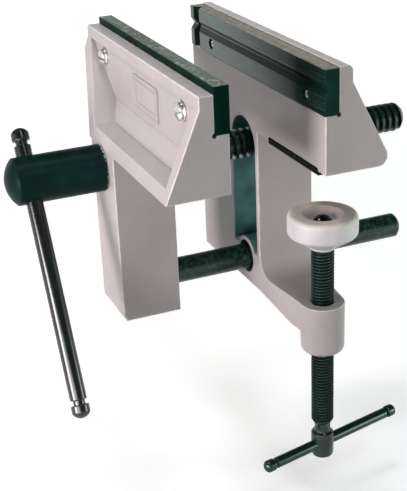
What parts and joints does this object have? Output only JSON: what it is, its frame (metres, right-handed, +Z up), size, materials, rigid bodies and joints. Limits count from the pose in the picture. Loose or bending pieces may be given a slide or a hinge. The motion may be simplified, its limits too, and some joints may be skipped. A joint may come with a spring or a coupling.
{
  "type": "clamp-on table vise",
  "caption": "Clamp-on table vise: wide plated jaws on painted castings, a main screw and guide rod, a sliding tommy bar, and a screw clamp with a swivel disc under an offset column.",
  "frame": {"origin": "where the table clamp's screw axis meets the underside of the rubber table pad", "axes": "+X along the main screw, from the handle towards the fixed jaw; +Y across the jaws, from the open side of the table clamp towards the column; +Z up"},
  "size_m": [0.2248, 0.16, 0.226],
  "materials": {
    "casting_paint": "silver-grey paint with a faint lilac tint",
    "jaw_steel": "blackened, milled faces",
    "black_steel": "blackened and oiled",
    "zinc": "zinc plated",
    "bronze": "turned bronze",
    "pad_rubber": "moulded, matt",
    "nylon": "natural nylon"
  },
  "bodies": {
    "fixed_jaw": {"rear_jaw_body": "casting_paint", "rear_jaw_plate": "jaw_steel", "rear_plate_screws": "zinc", "rear_plate_washers": "zinc", "spindle_nut": "bronze", "nut_lock_pin": "zinc", "guide_bush": "bronze", "table_pad": "pad_rubber"},
    "moving_jaw": {"front_jaw_body": "casting_paint", "front_jaw_plate": "jaw_steel", "front_plate_screws": "zinc", "front_plate_washers": "zinc", "guide_rod": "black_steel", "guide_rod_set_screw": "zinc", "front_thrust_washer": "zinc", "rear_thrust_washer": "zinc"},
    "main_screw": {"spindle": "black_steel", "spindle_hub": "black_steel", "hub_pin": "zinc"},
    "handle": {"tommy_bar": "black_steel", "tommy_bar_knobs": "black_steel"},
    "swivel_disc": {"clamp_pad": "nylon"},
    "table_screw": {"clamp_screw": "black_steel", "pad_retaining_screw": "black_steel"},
    "table_screw_bar": {"clamp_bar": "black_steel", "clamp_bar_knobs": "black_steel"}
  },
  "joints": [
    {"name": "jaw_slide", "type": "slide", "parent": "fixed_jaw", "child": "moving_jaw", "axis": [1, 0, 0], "range_m": [-0.058, 0.046]},
    {"name": "spindle_turn", "type": "hinge", "parent": "moving_jaw", "child": "main_screw", "pos_m": [-0.1321, 0.061, -0.0088], "axis": [1, 0, 0], "range_deg": [-5225, 4145]},
    {"name": "handle_slide", "type": "slide", "parent": "main_screw", "child": "handle", "axis": [0, 0.5, 0.866], "range_m": [-0.0075, 0.1018]},
    {"name": "clamp_lift", "type": "slide", "parent": "fixed_jaw", "child": "swivel_disc", "axis": [0, 0, 1], "range_m": [-0.0298, 0.0299]},
    {"name": "clamp_turn", "type": "hinge", "parent": "swivel_disc", "child": "table_screw", "pos_m": [0, 0, -0.049], "axis": [0, 0, 1], "range_deg": [-6140, 6160]},
    {"name": "clamp_bar_slide", "type": "slide", "parent": "table_screw", "child": "table_screw_bar", "axis": [0.9744, 0.225, 0], "range_m": [-0.0408, 0.0273]}
  ],
  "couplings": [
    {"joint": "spindle_turn", "follows": "jaw_slide", "rad_per_m": 1570.8},
    {"joint": "clamp_turn", "follows": "clamp_lift", "rad_per_m": 3590.4}
  ]
}
